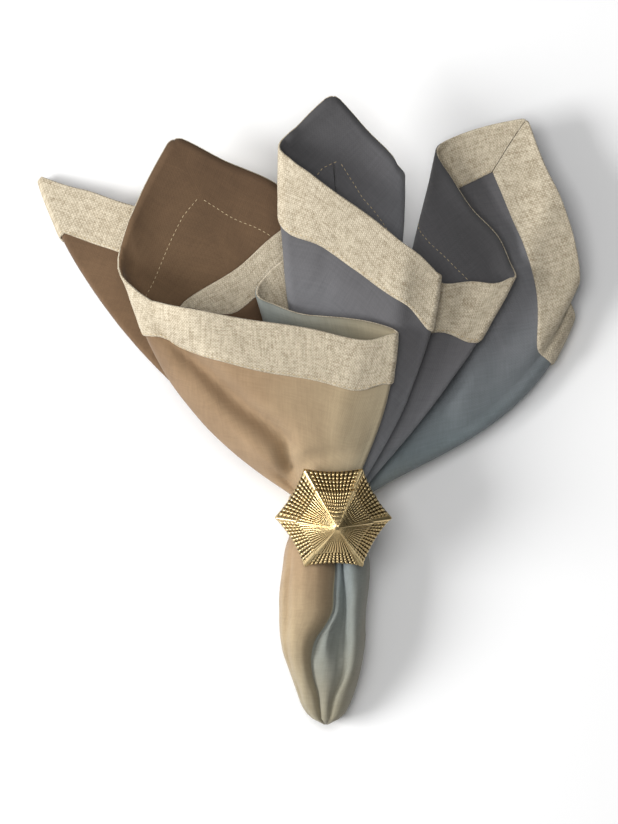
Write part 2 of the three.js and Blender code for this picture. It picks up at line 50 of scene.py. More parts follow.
napkin = {
    "side": 508,  # cut size of the square
    "border": 25.4,  # width of the linen border
    "seamStep": 12,  # the rim's direction is taken over this length each way
    "seamBlend": 16,
    # The border lies narrower or wider on these places of the rim: place, spread, shift
    "seamShifts": [(591, 26, 10.5), (732, 14, 3), (1072, 20, -4.5), (1150, 16, 3.5), (1618, 30, 9)],
    "straightBefore": 20,  # each seam runs straight from this far before a corner
    "straightAfter": 13,  # and to this far after it
    "cloth": 0.7,  # thickness of the ground cloth
    "strip": 0.7,  # thickness of a border strip
    "stripGap": 0.1,  # between the cloth and a strip
    "mitreGap": 0.3,  # between two strips at a corner
    "lineSpacing": 4.4,  # between the lines of the fan, along the rim
    "cornerRounds": (2, 6.5, 4.5, 3.5),  # left corner, second petal, third, fourth
    "cornerLines": (0.6, 1.3, 2.1, 4.2, 5.4),  # added lines, this far from a corner
    "turnSteps": 10,  # lines round a fold
    "nearReach": 52,  # up to here all lines have the same rows
    "nearRows": 16,
    "farRows": 19,
    "borderRows": 7,
}

ring = {
    "inner": 20,
    "outer": 22.6,
    "width": 10,
    "lean": math.radians(16),
    "centre": np.array((0, 5, 23.6)),
    "ornamentRadius": 29,
    "ornamentHeight": 19.5,
    "ornamentGap": 0.3,
    "ornamentShift": 1.5,
}

fan = {
    "focus": 16,  # the lines leave the ring along hyperbolas about this half width
    "heightReach": 225,  # reach of the far heights
    "rise": 20,  # reach over which the lean of the ring lifts the cloth
}

# Folds in order along the rim. Each wall runs from one fold to the next. edge: along the napkin's rim
# from the left corner; x, y: the rim in plan; bearing: in the ring; bow: bend of the fold line;
# low, middle, far: heights in the ring, at half of heightReach and at heightReach
wallColumns = ("edge", "x", "y", "bearing", "bow", "low", "middle", "far")
wallTable = {
    "leftCorner": [
        (3, -147.6, 169.2, -55, -3, 19.6, 4.5, 5), (47, -101, 156, -45, -1.5, 17.6, 8, 11),
        (100, -48, 146, -25, 0, 13.8, 8.5, 12), (160, 7, 136, 9, 0, 12.6, 8, 11),
    ],
    "leftInnerBack": [
        (186, 7, 130, 9, 0, 18.4, 28, 42), (238, -38.5, 110, -14, 0, 21.3, 36, 54),
        (254, -50.5, 101.5, -25, 0, 23.2, 39, 58), (290, -76.5, 102.5, -42, 0, 25.2, 41, 56),
    ],
    "leftInnerBorderUp": [
        (304, -77.5, 105, -42, 0, 22.2, 33, 46), (346, -48, 124, -29, 0, 20.6, 30.5, 44),
        (376, -27, 142.5, -20, 0, 19, 28, 42), (392, -13, 150, -7, 0, 17.8, 25, 39),
    ],
    "secondPetalInside": [
        (424, -13, 158, -7, 0, 15.4, 16.5, 27), (446, -27.5, 166, -18, 0, 16.3, 17, 30),
        (478, -54, 178, -25, 1, 17.2, 17.5, 32), (508, -80.5, 191, -31, 2.4, 18.3, 19, 34),
        (536, -94, 165.5, -48, 1, 20.8, 22, 38), (564, -110, 142, -69.5, -0.5, 23.4, 27, 44),
    ],
    "frontCup": [
        (604, -97, 101.5, -69.5, -0.5, 30.2, 47, 66), (630, -71.5, 104, -44, -1, 36, 66, 88),
        (665, -36.5, 97.5, -18, 0, 40.2, 74, 100), (700, -1.5, 91.5, 5, 0, 41.2, 76, 104),
        (718, 16, 88, 20, 0, 39.6, 74, 102), (736, 31.5, 90.5, 34, 1, 37.4, 70, 98),
    ],
    "frontCupTurnedBack": [
        (741, 31.5, 93, 34, 1, 34.8, 65.5, 91), (788, -11.5, 100.4, 12, 0, 37, 65, 86),
        (816, -38.6, 104.8, -25, 0, 34.6, 58, 76),
    ],
    "underThirdPetal": [
        (836, -38, 121, -25, 0, 25.2, 45, 58), (890, 8, 148, 3, 0, 22.4, 36, 47),
        (928, 35.5, 165, 18, 2, 21.6, 33, 42),
    ],
    "thirdPetalInside": [
        (963, 36, 174.8, 18, 2, 24.2, 40.5, 50), (972, 29.8, 180, 12, 1, 24.3, 41, 51),
        (994, 16, 194, 8, 0, 24.5, 42.5, 52), (1016, 0, 211.5, 6, 0, 24.8, 43.5, 54),
        (1037, -16.5, 196, 4, 0, 25.2, 45, 57), (1049, -26.8, 190.8, -16, -0.5, 26.2, 47, 61),
    ],
    "thirdPetalFront": [
        (1071, -26.5, 178, -16, -0.5, 31.6, 56, 72), (1086, -14, 173, 1, 0, 32.6, 58.5, 75),
        (1109, 5.5, 158.6, 13, 0, 33, 60, 77), (1141, 32, 138.5, 23, 0, 33.2, 60, 77),
        (1155, 43.5, 130, 31, 0, 32.9, 58, 75), (1168, 53.5, 121, 43, 0, 32.4, 55, 72),
    ],
    "thirdPetalTucked": [
        (1173, 53.5, 120, 43, 0, 29.8, 50.5, 67), (1212, 20, 136, 21, 0, 30.4, 55, 71),
        (1254, -14, 156, 4, 0, 30.2, 54.5, 70),
    ],
    "betweenPetals": [
        (1266, -14, 154, 4, 0, 27.4, 48.5, 62), (1318, 28, 134, 18, 0, 27.4, 48, 61),
        (1350, 53, 117, 27, 0, 27.3, 44.5, 56), (1368, 70, 117.5, 33, 0, 27.2, 42, 52),
        (1379, 80, 116.5, 38, 0, 27, 40, 50), (1396, 90.6, 117.4, 49, 0, 26.4, 38, 47),
    ],
    "fourthPetalTurnedIn": [
        (1408, 91, 125, 49, 0, 23.6, 32, 40), (1424, 82.5, 140, 40, 0, 22.8, 29, 38),
        (1444, 69, 154.5, 35, 0, 22, 26.5, 36), (1468, 50.4, 176.6, 25, 0, 20.4, 23.5, 32),
    ],
    "fourthPetalOutside": [
        (1484, 54.7, 191.5, 25, -3, 16.4, 14, 20), (1506, 81.2, 196.6, 27, -3, 16.8, 14.5, 22),
        (1524, 97.4, 199.6, 30, -3.2, 17, 15, 23), (1548, 106, 176, 37, -1, 18.2, 16.5, 27),
        (1569, 115, 156.5, 42.5, 0, 19, 18, 30), (1588, 121, 137.5, 45.5, 3, 20.2, 18, 29),
        (1607, 123, 119, 49, 5, 21.2, 16, 25), (1626, 122.5, 104, 60, 7, 22.4, 12, 17),
    ],
    "onTable": [
        (1656, 118.5, 95, 60, 7, 19.2, -4, 0), (1740, 66, 108, 36, 0, 12.6, -6, 0),
        (1830, 0, 138, 0, 0, 9.8, -6, 0), (1920, -58, 143, -30, 0, 11.4, -6, 0),
        (1985, -101, 153, -43, -1.5, 14.2, -5, 0), (2029, -147.6, 168.2, -55, -3, 17.2, -2, 1),
    ],
}

# Creases of the cloth, on the lines between two places of the rim: start, end, plan path, rise (a trough
# where it is negative), and the widths over which it falls away to the left and right of the path
creaseTable = {
    "frontValley": (590, 742, [(-88, 95), (-74, 83), (-63, 73.5), (-47, 58), (-29.5, 44.5), (-23.5, 39),
                               (-22, 30), (-19, 21)], -9, 4.5, 9),
    "frontRidge": (590, 742, [(-84, 101), (-69, 89.5), (-58, 79.5), (-42, 63.5), (-25, 49.5), (-18.5, 43),
                              (-17.5, 30), (-15.5, 21)], 3.2, 26, 5),
    "frontBulge": (590, 742, [(-86, 92), (-79, 79), (-61, 56.5), (-49, 44), (-38, 33), (-28, 24)], 7.5, 10, 7),
    "dentAboveRing": (590, 742, [(-19, 26), (-12, 30), (-2, 31.5), (5, 31)], -4.6, 2.4, 10),
    "secondRidge": (590, 742, [(14, 84), (6, 60), (2, 42)], 1.2, 12, 9),
    "thirdPetalRidge": (1078, 1169, [(36, 124), (31, 80), (26, 46)], 2.6, 5, 16),
    "thirdPetalWrinkle": (1078, 1169, [(0, 134), (-6, 122), (-14, 104)], -1.5, 3.5, 4),
    "besideTheWrinkle": (1078, 1169, [(6, 132), (0, 120), (-8, 103)], -0.8, 3, 3.5),
    "fourthPetalRidge": (1484, 1630, [(108, 160), (84, 105), (60, 52)], 5, 14, 12),
    "fourthPetalHollow": (1484, 1630, [(74, 168), (63, 115), (52, 62)], -3, 10, 10),
}

print("tables read")


def mix(a, b, share):
    return a + (b - a) * share


def smooth(low, high, value):
    share = np.clip((value - low) / (high - low), 0, 1)
    return share * share * (3 - 2 * share)


def unit(vectors):
    return vectors / np.maximum(np.linalg.norm(vectors, axis=-1, keepdims=True), 1e-9)


# Points at some lengths along a curve that is given as rows of x, y and z
def onCurve(at, along, rows):
    return np.stack([np.interp(at, along, rows[:, k]) for k in range(3)], axis=-1)


def toFan(x, y):
    dy = y - ring["centre"][1]
    excess = x * x + dy * dy - fan["focus"] ** 2
    reach = math.sqrt((excess + math.hypot(excess, 2 * fan["focus"] * dy)) / 2)
    return reach, math.asin(x / math.hypot(reach, fan["focus"]))


def toPlan(reach, bearing):
    wide = np.hypot(reach, fan["focus"])
    return wide * np.sin(bearing), ring["centre"][1] + reach * np.cos(bearing)


# Length from the middle of the napkin to this place of its rim
def flatLength(edge):
    half = napkin["side"] / 2
    return math.hypot(half, half - edge % napkin["side"])


# The table side of the cloth lies flat, with the border strip under it near the rim
def floorUnder(point, reach):
    bare = napkin["cloth"] / 2
    if point["edge"] < 3 * napkin["side"]:
        return bare
    seam = point["rimReach"] - napkin["border"] * flatLength(point["edge"]) / (napkin["side"] / 2)
    return bare + (napkin["stripGap"] + napkin["strip"]) * smooth(seam - 16, seam - 5, reach)


def heightAt(point, reach):
    u = reach / fan["heightReach"]
    height = (1 - u) ** 2 * point["low"] + 2 * u * (1 - u) * point["middle"] + u * u * point["far"]
    lean = math.tan(ring["lean"]) * reach * np.exp(-((reach / fan["rise"]) ** 2))
    return np.maximum(height + lean, floorUnder(point, reach))


# Half the height of the turn between two walls, as an angle of the fan
def turnAngle(first, second, reach):
    return np.abs(heightAt(first, reach) - heightAt(second, reach)) / 2 / np.hypot(reach, fan["focus"])


# The end of a wall draws back by the radius of the turn, so that the turn reaches the fold line
def bearingAt(point, reach):
    share = np.minimum(reach / point["rimReach"], 1.1)
    bearing = mix(math.radians(point["bearing"]), point["rimBearing"], share)
    bearing = bearing + math.radians(point["bow"]) * 4 * share * (1 - share)
    if not point["turn"]:
        return bearing
    partner, direction = point["turn"]
    return bearing - direction * turnAngle(point, partner, reach)


# Weights of the four points round a place on a wall: a cubic in the distance along the rim,
# which turns sharply at a corner of the napkin
def wallWeights(points, segment, share):
    start, end = points[segment], points[segment + 1]
    smoothStart = segment > 0 and start["edge"] % napkin["side"]
    smoothEnd = segment + 2 < len(points) and end["edge"] % napkin["side"]
    before = points[segment - 1] if smoothStart else start
    after = points[segment + 2] if smoothEnd else end
    span = end["edge"] - start["edge"]
    leave = (share ** 3 - 2 * share ** 2 + share) * span / (end["edge"] - before["edge"])
    arrive = (share ** 3 - share ** 2) * span / (after["edge"] - start["edge"])
    return [(start, 2 * share ** 3 - 3 * share ** 2 + 1 - arrive), (end, 3 * share ** 2 - 2 * share ** 3 + leave),
            (before, -leave), (after, arrive)]


def readWalls():
    walls = [[dict(zip(wallColumns, row), turn=None) for row in rows] for rows in wallTable.values()]
    for point in sum(walls, []):
        point["rimReach"], point["rimBearing"] = toFan(point["x"], point["y"])
    for wall, following in zip(walls, walls[1:] + walls[:1]):
        last, first = wall[-1], following[0]
        direction = math.copysign(1, last["rimBearing"] - wall[0]["rimBearing"])
        last["turn"], first["turn"] = (first, direction), (last, direction)
    return walls


# A line of the fan, mixed from weighted points of the walls. Round a turn it also swings out
def makeLine(edge, rim, weights, swing=0.0):
    def bearing(reach):
        mean = sum(weight * bearingAt(point, reach) for point, weight in weights)
        return mean + swing * turnAngle(weights[0][0], weights[1][0], reach)

    def height(reach):
        return sum(weight * heightAt(point, reach) for point, weight in weights)

    return {"edge": edge, "rim": rim, "bearing": bearing, "height": height}


# Lines of the fan, from the ring to the rim: along the walls and round the turns between them
def makeLines():
    lines, walls, side = [], readWalls(), napkin["side"]
    for wall, following in zip(walls, walls[1:] + walls[:1]):
        for segment, (start, end) in enumerate(zip(wall, wall[1:])):
            span = end["edge"] - start["edge"]
            steps = math.ceil(span / napkin["lineSpacing"])
            shares = [step / steps for step in range(1 if segment else 0, steps + 1)]
            for near in napkin["cornerLines"]:
                shares += [near / span] if start["edge"] % side == 0 else []
                shares += [1 - near / span] if end["edge"] % side == 0 else []
            for share in sorted(shares):
                weights = wallWeights(wall, segment, share)
                edge, rim = (sum(weight * point[key] for point, weight in weights) for key in ("edge", "rimReach"))
                lines.append(makeLine(edge, rim, weights))
        last, first = wall[-1], following[0]
        edgeAfter = first["edge"] + (4 * side if first["edge"] < last["edge"] else 0)
        for step in range(1, napkin["turnSteps"]):
            turned = step / napkin["turnSteps"]
            angle = math.pi * (turned - 0.5)
            share = (1 + math.sin(angle)) / 2
            lines.append(makeLine(mix(last["edge"], edgeAfter, turned) % (4 * side),
                                  mix(last["rimReach"], first["rimReach"], turned),
                                  [(last, 1 - share), (first, share)], last["turn"][1] * math.cos(angle)))
    return lines


# Signed distance from a plan path, to the left of it, and how far along it the nearest place is
def fromPath(path, x, y):
    best, side, along = np.full(x.shape, 1e9), np.zeros(x.shape), np.zeros(x.shape)
    total, last = 0.0, len(path) - 2
    for index, ((x1, y1), (x2, y2)) in enumerate(zip(path, path[1:])):
        dx, dy = x2 - x1, y2 - y1
        length = math.hypot(dx, dy)
        t = ((x - x1) * dx + (y - y1) * dy) / length ** 2
        held = np.clip(t, -9 if index == 0 else 0, 9 if index == last else 1)
        away = np.hypot(x - x1 - held * dx, y - y1 - held * dy)
        near = away < best
        best = np.where(near, away, best)
        side = np.where(near, np.sign(dx * (y - y1) - dy * (x - x1)), side)
        along = np.where(near, total + held * length, along)
        total += length
    return best * side, along, total


def creaseHeight(edge, x, y):
    height = np.zeros(x.shape)
    for start, end, path, rise, left, right in creaseTable.values():
        if start < edge < end:
            away, along, total = fromPath(path, x, y)
            fade = smooth(-14, 8, along) * smooth(total + 12, total - 6, along)
            profile = np.exp(1 - np.sqrt(1 + (away / np.where(away > 0, left, right) * 2.2) ** 2))
            height += rise * fade * profile * smooth(0, 12, edge - start) * smooth(0, 12, end - edge)
    return height


# How far the rounded corners of the napkin draw back
def cornerCut(edge):
    fromCorner = abs((edge + napkin["side"] / 2) % napkin["side"] - napkin["side"] / 2)
    size = napkin["cornerRounds"][round(edge / napkin["side"]) % 4]
    return 0.42 * size * max(1 - fromCorner / size, 0) ** 2


# The lines that end on one side of the napkin, in order along it, and their places along the rim
def orderedSide(edges, number):
    side = napkin["side"]
    along = np.where((number == 3) & (edges < 0.01), 4 * side, edges)
    chosen = [i for i in np.argsort(along, kind="stable")
              if number * side - 0.01 <= along[i] <= (number + 1) * side + 0.01]
    return chosen, along[chosen]


def planOf(line, reach):
    return np.array(toPlan(reach, line["bearing"](reach)))


def linePoints(line, reaches):
    x, y = planOf(line, reaches)
    return np.stack((x, y, line["height"](reaches) + creaseHeight(line["edge"], x, y)), axis=-1)


wrinkles = {
    "broad": 34,  # size of the soft waves
    "broadRise": 0.55,
    "fine": 11,
    "fineRise": 0.15,
    "calmReach": 45,  # the layers lie close below this reach, so they stay smooth
    "lastEdge": 1640,  # beyond this place of the rim the cloth lies flat on the table
}


# Place in the flat napkin (0 to 1 from the left corner) of a share of the way from its middle to its rim
def flatPlace(edge, share):
    side, half, along = napkin["side"], napkin["side"] / 2, edge % napkin["side"]
    corner = [(along, 0), (side, along), (side - along, side), (0, side - along)][int(edge // side) % 4]
    return np.stack([(half + share * (corner[i] - half)) / side for i in (0, 1)], axis=-1)


def faceNormals(points):
    across = np.roll(points, -1, axis=0) - np.roll(points, 1, axis=0)
    return unit(np.cross(across, np.gradient(points, axis=1)))


# Reach at which a line of the fan crosses the straight line between two plan places
def crossReach(line, start, end):
    probes = np.linspace(line["rim"] - 60, line["rim"], 121)
    x, y = planOf(line, probes)
    past = (x - start[0]) * (end[1] - start[1]) - (y - start[1]) * (end[0] - start[0])
    return np.interp(0, past * np.sign(past[-1] - past[0]), probes)


# Where the border's inner edge crosses each line, so that the border is equally wide along each side
def seamReaches(lines):
    probe, step, side = 14, napkin["seamStep"], napkin["side"]
    tips = np.array([linePoints(line, np.array((line["rim"] - probe, line["rim"]))) for line in lines])
    edges = np.array([line["edge"] for line in lines])
    rims, inwards = tips[:, 1], tips[:, 0] - tips[:, 1]
    slopes = np.linalg.norm(inwards, axis=1) / probe
    inwards = unit(inwards)
    total, counted = np.zeros(len(lines)), np.zeros(len(lines))
    for number in range(4):
        chosen, along = orderedSide(edges, number)
        ahead, back = (onCurve(along + way, along, rims[chosen]) for way in (step, -step))
        sine = np.linalg.norm(np.cross(unit(ahead - back), inwards[chosen]), axis=1)
        across = napkin["border"] / np.maximum(sine, 0.5)
        near = np.exp(-((along[:, None] - along[None, :]) / napkin["seamBlend"]) ** 2)
        weight = near * np.gradient(along)[None, :]
        total[chosen] += (weight @ across) / weight.sum(axis=1)
        counted[chosen] += 1
    seams = np.array([line["rim"] for line in lines]) - total / counted / slopes
    for place, spread, shift in napkin["seamShifts"]:
        seams += shift * np.exp(-(((edges - place) / spread) ** 2))
    for corner in (1, 2, 3):  # the last part of each seam runs straight, to one sharp tip
        at = int(np.argmin(np.abs(edges - corner * side)))
        sides, crossings = [], []
        for number, straight in ((corner - 1, napkin["straightBefore"]), (corner, napkin["straightAfter"])):
            chosen, along = orderedSide(edges, number)
            away = np.abs(along - corner * side)
            near, far = (chosen[int(np.argmin(np.abs(away - gap)))] for gap in (straight, straight + 13))
            start, end = (planOf(lines[i], seams[i]) for i in (near, far))
            sides.append((start, [i for i, gap in zip(chosen, away) if 0.01 < gap < straight]))
            crossings.append(crossReach(lines[at], start, end))
        seams[at] = crossings[1] if corner == 3 else sum(crossings) / 2
        tip = planOf(lines[at], seams[at])
        for start, between in sides:
            for i in between:
                seams[i] = crossReach(lines[i], start, tip)
    return seams


# Middle surface of the fan: for each line its rows of points and their places in the flat napkin
def makeFanGrid():
    lines, points, flats = makeLines(), [], []
    nearReaches = mix(4, napkin["nearReach"], np.linspace(0, 1, napkin["nearRows"]) ** 1.2)
    for line, seam in zip(lines, seamReaches(lines)):
        reaches = np.concatenate((
            nearReaches,
            np.linspace(napkin["nearReach"], seam, napkin["farRows"] + 1)[1:-1],
            np.linspace(seam, line["rim"] - cornerCut(line["edge"]), napkin["borderRows"] + 1),
        ))
        row = linePoints(line, reaches)
        steps = np.linalg.norm(np.diff(row, axis=0), axis=1)
        toRim = np.concatenate((np.cumsum(steps[::-1])[::-1], (0,)))
        points.append(row)
        flats.append(flatPlace(line["edge"], 1 - toRim / flatLength(line["edge"])))
    edges, points, flats = np.array([line["edge"] for line in lines]), np.array(points), np.array(flats)
    reach = np.hypot(points[..., 0], points[..., 1] - ring["centre"][1])
    rise = smooth(wrinkles["calmReach"] * 0.5, wrinkles["calmReach"] * 2, reach)
    rise[edges > wrinkles["lastEdge"]] = 0
    for i, j in np.argwhere(rise > 0):
        place = Vector((*flats[i, j], 0)) * napkin["side"]
        wave = wrinkles["broadRise"] * noise.noise(place / wrinkles["broad"])
        rise[i, j] *= wave + wrinkles["fineRise"] * noise.noise(place / wrinkles["fine"] + Vector((7, 3, 1)))
    return {"edges": edges, "points": points + faceNormals(points) * rise[..., None], "flats": flats,
            "seamRow": napkin["nearRows"] + napkin["farRows"] - 1}


# Sections of the bundle below the ring: y; left and right outline; its two folds; crowns of the left
# lobe, the tongue and the right lobe; bottoms of the folds; floor; how far left the tongue's ridge is,
# and how peaked it is
tailColumns = ("y", "left", "right", "foldA", "foldB", "crownA", "crownB", "crownC", "lowA", "lowB", "floor",
               "ridge", "peak")
tailTable = [
    (9, -18, 18, -1, 6, 43, 43, 42, 41.5, 41.5, 7.4, 0.5, 0),
    (0, -19, 19, 0, 6, 41.6, 41.4, 41, 39, 39, 4.6, 0.5, 0),
    (-8, -21, 18, 1, 6, 39.4, 37.2, 38.6, 32, 32, 2.4, 0.5, 0),
    (-16, -23.6, 17.4, 1.3, 5.6, 38.2, 33, 37, 26, 25, 1.2, 0.5, 0),
    (-26, -25, 18.3, 1.5, 5.6, 37.3, 30, 35.6, 22, 20, 0.35, 0.4, 0),
    (-38, -26.5, 17.3, 0.6, 7, 36.3, 29, 34.5, 20, 18, 0.35, 0.3, 0.3),
    (-47, -26.6, 16.2, 0, 7.5, 35.4, 29.5, 33.4, 20, 18, 0.35, 0.28, 0.7),
    (-55, -26.5, 16, -4, 7.5, 34.2, 31, 32.2, 20, 18, 0.35, 0.24, 1),
    (-61, -26, 16, -8.6, 7.5, 33, 31.6, 31.2, 20, 17, 0.35, 0.32, 1),
    (-68, -24.8, 15.2, -10.6, 7.4, 31.4, 31, 29.8, 19.5, 16.5, 0.35, 0.38, 0.8),
    (-74, -22.8, 14.2, -10.8, 7, 29.2, 29.8, 28, 19, 16.5, 0.35, 0.42, 0.15),
    (-82, -20, 12.4, -9.5, 4.5, 26.2, 27.2, 25.2, 17, 15, 0.35, 0.46, 0),
    (-89, -17.6, 10.3, -7.4, 1, 22.8, 23.8, 22.2, 15, 14, 0.4, 0.5, 0),
    (-95, -15.4, 7.9, -6.6, -0.6, 19.4, 20, 19, 13.6, 12.8, 0.8, 0.5, 0),
    (-100, -12, 5, -6, -1.4, 16, 16.4, 15.6, 12.6, 12.2, 2, 0.5, 0),
    (-103, -7.6, 0.5, -5.5, -2, 13.4, 13.6, 13, 11.9, 11.8, 5, 0.5, 0),
    (-104.4, -4.2, -2.6, -3.8, -3.2, 11.6, 11.6, 11.6, 11.3, 11.3, 10.4, 0.5, 0),
]

tail = {
    "rows": 38,
    "foldShares": (0, 0.42, 0.66, 1),  # the layers' width is shared out so between the outline and the folds
    "wrinkle": 0.5,
    "rightRidge": 0.3,  # the right lobe is highest this share from its fold
    "topLayer": (604, 816),  # this part of the rim ends in the layer that wraps the whole tail
    "fullBelow": -9,  # from the ring to this y the layers spread out to the sections of the table
    "sideHeight": 0.4,  # height of the outline, as a share of the crown
    "pleatRise": 2.2,  # gathers of the layers inside the bundle
    "pleatSpacing": 5.2,
    "edges": ((90, 380), (1120, 1400), (1500, 1700)),  # rim of the napkin that the two lobes and the tongue come from
}


# A section between the rows of the table, on a smooth curve through them
def tailSection(y):
    table = np.array(tailTable, dtype=float)[::-1]
    places = table[:, 0]
    n = min(max(int(np.searchsorted(places, y)) - 1, 0), len(places) - 2)
    gap = places[n + 1] - places[n]
    t = min(max((y - places[n]) / gap, 0), 1)
    before, after = ((table[high] - table[low]) / (places[high] - places[low])
                     for low, high in ((max(n - 1, 0), n + 1), (n, min(n + 2, len(places) - 1))))
    values = ((2 * t ** 3 - 3 * t ** 2 + 1) * table[n] + (3 * t ** 2 - 2 * t ** 3) * table[n + 1]
              + (t ** 3 - 2 * t ** 2 + t) * gap * before + (t ** 3 - t ** 2) * gap * after)
    section = dict(zip(tailColumns, values))
    section["floor"] = max(section["floor"], napkin["cloth"] / 2)
    return section


def lobe(x, start, end, startHeight, endHeight, crown, ridge, peak=0.0):
    u = np.clip((x - start) / np.maximum(end - start, 0.01), 0, 1) ** (math.log(0.5) / math.log(ridge))
    base = mix(startHeight, endHeight, u)
    full = np.sqrt(1 - np.abs(2 * u - 1) ** 2.4)
    sharp = 0.62 * full + 0.38 * np.exp(-((2 * u - 1) / 0.24) ** 2)
    return base + (crown - base) * mix(full, sharp, min(max(peak, 0), 1))


# Heights of the bundle's underside and top at a place across it
def tailHeights(section, x):
    left, right, foldA, foldB, lowA, lowB, floor = (
        section[name] for name in ("left", "right", "foldA", "foldB", "lowA", "lowB", "floor"))
    side = mix(floor, section["crownA"], tail["sideHeight"])
    top = np.where(x < foldB,
                   lobe(x, foldA, foldB, lowA, lowB, section["crownB"], section["ridge"], section["peak"]),
                   lobe(x, foldB, right, lowB, side, section["crownC"], tail["rightRidge"]))
    top = np.where(x < foldA, lobe(x, left, foldA, side, lowA, section["crownA"], 0.5), top)
    u = np.clip((x - left) / max(right - left, 0.01), 0, 1)
    return side - (side - floor) * (1 - np.abs(2 * u - 1) ** 3) ** 0.5, top


# Lowest and highest layer of the first row at each place across the ring
def layerLimits(points):
    between = np.concatenate([mix(points, np.roll(points, -1, axis=0), k / 8) for k in range(8)])
    places = np.linspace(points[:, 0].min(), points[:, 0].max(), 61)
    near = [between[np.abs(between[:, 0] - place) < 0.6, 2] for place in places]
    return places, [heights.min() for heights in near], [heights.max() for heights in near]


# The layers run on from the fan's first row through the ring and into the tail, to the middle of the napkin
def makeTailRows(firstRow, firstFlat, edges):
    spreadRow = firstRow.copy()
    outer = (edges > tail["topLayer"][0]) & (edges < tail["topLayer"][1]) & (firstRow[:, 0] > 0)
    spreadRow[outer, 0] *= firstRow[:, 0].max() * 1.01 / firstRow[outer, 0].max()
    places, low, high = layerLimits(spreadRow)
    across = (spreadRow[:, 0] - places[0]) / (places[-1] - places[0])
    lowest, highest = (np.interp(spreadRow[:, 0], places, limit) for limit in (low, high))
    level = np.clip((firstRow[:, 2] - lowest) / np.maximum(highest - lowest, 0.5), 0, 1)
    ys = 7 - 111.3 * np.linspace(0, 1, tail["rows"]) ** 0.92
    rows, flats = [], []
    for y in ys:
        section = tailSection(y)
        bounds = [section[name] for name in ("left", "foldA", "foldB", "right")]
        x = np.interp(across, tail["foldShares"], bounds)
        under, top = tailHeights(section, x)
        pleats = tail["pleatRise"] * np.clip((top - under) / 24, 0, 1) * np.sin(math.tau * x / tail["pleatSpacing"])
        z = mix(under, top, level) + pleats * np.clip(4.5 * level * (1 - level), 0, 1)
        waves = np.array([noise.noise(Vector((place / 7, y / 16, 3))) for place in x])
        z += level ** 3 * smooth(-100, -80, y) * tail["wrinkle"] * waves
        spread = smooth(6, tail["fullBelow"], y)
        rows.append(np.stack((mix(firstRow[:, 0], x, spread), mix(firstRow[:, 1], y, smooth(7, 3, y)),
                              mix(firstRow[:, 2], z, spread)), axis=-1))
        share = 0.5 * (y - ys[-1]) / (ys[0] - ys[-1])
        shown = np.zeros(firstFlat.shape)
        for start, end, rim in zip(bounds, bounds[1:], tail["edges"]):
            edge = mix(*rim, np.clip((x - start) / max(end - start, 0.01), 0, 1))
            inside = (x >= start) & (x <= end)
            shown = np.where(inside[:, None], [flatPlace(e, share) for e in edge], shown)
        held = (smooth(0.3, 0.6, level) * spread)[:, None]
        flats.append(mix(mix(0.5, firstFlat, share / 0.5), shown, held))
    return [np.array(part)[:0:-1].transpose(1, 0, 2) for part in (rows, flats)]


def addTail(fanGrid):
    rows, flats = makeTailRows(fanGrid["points"][:, 0], fanGrid["flats"][:, 0], fanGrid["edges"])
    points = np.concatenate((rows, fanGrid["points"]), axis=1)
    return {
        "edges": fanGrid["edges"],
        "points": points,
        "normals": faceNormals(points),
        "flats": np.concatenate((flats, fanGrid["flats"]), axis=1),
        "thickness": napkin["cloth"] * np.interp(points[..., 1], (-104, -84, -60), (0.25, 0.7, 1)),
        "seamRow": fanGrid["seamRow"] + rows.shape[1],
    }


# The middle of the ornament in the frame's plan, from the ring's band
bandLow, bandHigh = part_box("ring_band")
ornamentPlan = Vector(((bandLow[0] + bandHigh[0]) / 2, (bandLow[1] + bandHigh[1]) / 2 - ring["centre"][1] * mm, 0))


def addObject(name, data):
    made = bpy.data.objects.new(name, data)
    bpy.context.scene.collection.objects.link(made)
    return made


def makeObject(name, points, faces, uvs, material):
    mesh = bpy.data.meshes.new(name)
    places = np.asarray(points, dtype=float).reshape(-1, 3) * mm + np.array(ornamentPlan)
    mesh.from_pydata(places.tolist(), [], faces)
    if uvs is not None:
        layer = mesh.uv_layers.new(name="flat")
        corners = np.empty(len(mesh.loops), dtype=np.int32)
        mesh.loops.foreach_get("vertex_index", corners)
        layer.data.foreach_set("uv", np.asarray(uvs, dtype=np.float32).reshape(-1, 2)[corners].ravel())
    mesh.polygons.foreach_set("use_smooth", [True] * len(mesh.polygons))
    mesh.materials.append(material)
    mesh.validate()
    mesh.update()
    return addObject(name, mesh)


# Four-sided faces between the points of a grid, from their numbers. A closed one joins its last row to its first
def gridFaces(index, closed=False):
    if closed:
        index = np.concatenate((index, index[:1]))
    corners = (index[:-1, :-1], index[1:, :-1], index[1:, 1:], index[:-1, 1:])
    return np.stack(corners, axis=-1).reshape(-1, 4).tolist()


# Thin closed sheet from two equal grids of points, [line, place], one for each side
def makeSheet(name, outer, inner, flats, closed, material):
    points = np.concatenate((outer, inner))
    points[..., 2] = np.maximum(points[..., 2], 0)
    total = outer.shape[0] * outer.shape[1]
    index = np.arange(total).reshape(outer.shape[:2])
    ends = [] if closed else [index[0, ::-1], index[-1]]
    if closed:
        index = np.concatenate((index, index[:1]))
    faces = gridFaces(index) + gridFaces(index.T + total)
    for edge in [index[:, 0], index[::-1, -1]] + ends:
        faces += gridFaces(np.stack((edge, edge + total)))
    return makeObject(name, points, faces, np.concatenate((flats, flats)), material)


# Shader helpers: inputs are set by name, each to a value or another node's output
def feed(tree, node, inputs):
    for key, value in inputs.items():
        if isinstance(value, bpy.types.NodeSocket):
            tree.links.new(value, node.inputs[key])
        else:
            node.inputs[key].default_value = value


def addNode(tree, kind, inputs=None, **settings):
    node = tree.nodes.new(kind)
    for key, value in settings.items():
        setattr(node, key, value)
    feed(tree, node, inputs or {})
    return node


